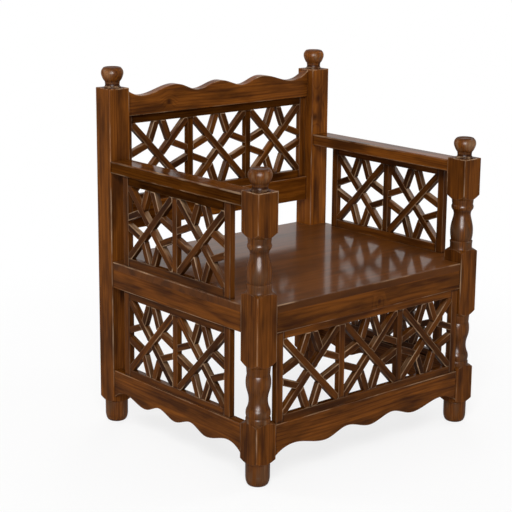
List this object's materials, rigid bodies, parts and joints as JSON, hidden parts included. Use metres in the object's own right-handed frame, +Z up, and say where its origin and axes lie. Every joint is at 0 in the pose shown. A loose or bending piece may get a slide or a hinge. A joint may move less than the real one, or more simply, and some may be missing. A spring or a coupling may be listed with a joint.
{
  "type": "wooden armchair",
  "caption": "Square wooden armchair with turned front posts, a flat bare seat, flat arms, wavy rails and pierced lattice panels in back and sides.",
  "frame": {"origin": "on the floor, in the middle between the four feet", "axes": "+Z up, +X to the right seen from the front, +Y towards the back, so the chair faces -Y"},
  "size_m": [0.722, 0.61, 0.9],
  "materials": {
    "frame_wood": "pine stained walnut brown, gloss lacquer",
    "seat_wood": "pine stained walnut brown, polished gloss lacquer",
    "lattice_wood": "pine slats stained walnut brown, lacquer"
  },
  "bodies": {
    "root": {"apron_front": "frame_wood", "apron_left": "frame_wood", "apron_right": "frame_wood", "arm_left": "frame_wood", "arm_right": "frame_wood", "back_panel_mullion_left": "lattice_wood", "back_panel_mullion_right": "lattice_wood", "back_panel_slats": "lattice_wood", "back_panel_stile_left": "lattice_wood", "back_panel_stile_right": "lattice_wood", "back_panel_strip_bottom": "lattice_wood", "back_panel_strip_top": "lattice_wood", "back_rail_lower": "frame_wood", "back_rail_upper": "frame_wood", "front_panel_mullion_left": "lattice_wood", "front_panel_mullion_right": "lattice_wood", "front_panel_slats": "lattice_wood", "front_panel_stile_left": "lattice_wood", "front_panel_stile_right": "lattice_wood", "front_panel_strip_bottom": "lattice_wood", "front_panel_strip_top": "lattice_wood", "left_lower_panel_mullion": "lattice_wood", "left_lower_panel_slats": "lattice_wood", "left_lower_panel_stile_front": "lattice_wood", "left_lower_panel_stile_rear": "lattice_wood", "left_lower_panel_strip_bottom": "lattice_wood", "left_lower_panel_strip_top": "lattice_wood", "left_upper_panel_mullion": "lattice_wood", "left_upper_panel_slats": "lattice_wood", "left_upper_panel_stile_front": "lattice_wood", "left_upper_panel_stile_rear": "lattice_wood", "left_upper_panel_strip_bottom": "lattice_wood", "left_upper_panel_strip_top": "lattice_wood", "post_front_left": "frame_wood", "post_front_right": "frame_wood", "post_rear_left": "frame_wood", "post_rear_right": "frame_wood", "right_lower_panel_mullion": "lattice_wood", "right_lower_panel_slats": "lattice_wood", "right_lower_panel_stile_front": "lattice_wood", "right_lower_panel_stile_rear": "lattice_wood", "right_lower_panel_strip_bottom": "lattice_wood", "right_lower_panel_strip_top": "lattice_wood", "right_upper_panel_mullion": "lattice_wood", "right_upper_panel_slats": "lattice_wood", "right_upper_panel_stile_front": "lattice_wood", "right_upper_panel_stile_rear": "lattice_wood", "right_upper_panel_strip_bottom": "lattice_wood", "right_upper_panel_strip_top": "lattice_wood", "seat_board": "seat_wood", "seat_rail_front": "frame_wood", "seat_rail_left": "frame_wood", "seat_rail_rear": "frame_wood", "seat_rail_right": "frame_wood"}
  },
  "joints": []
}
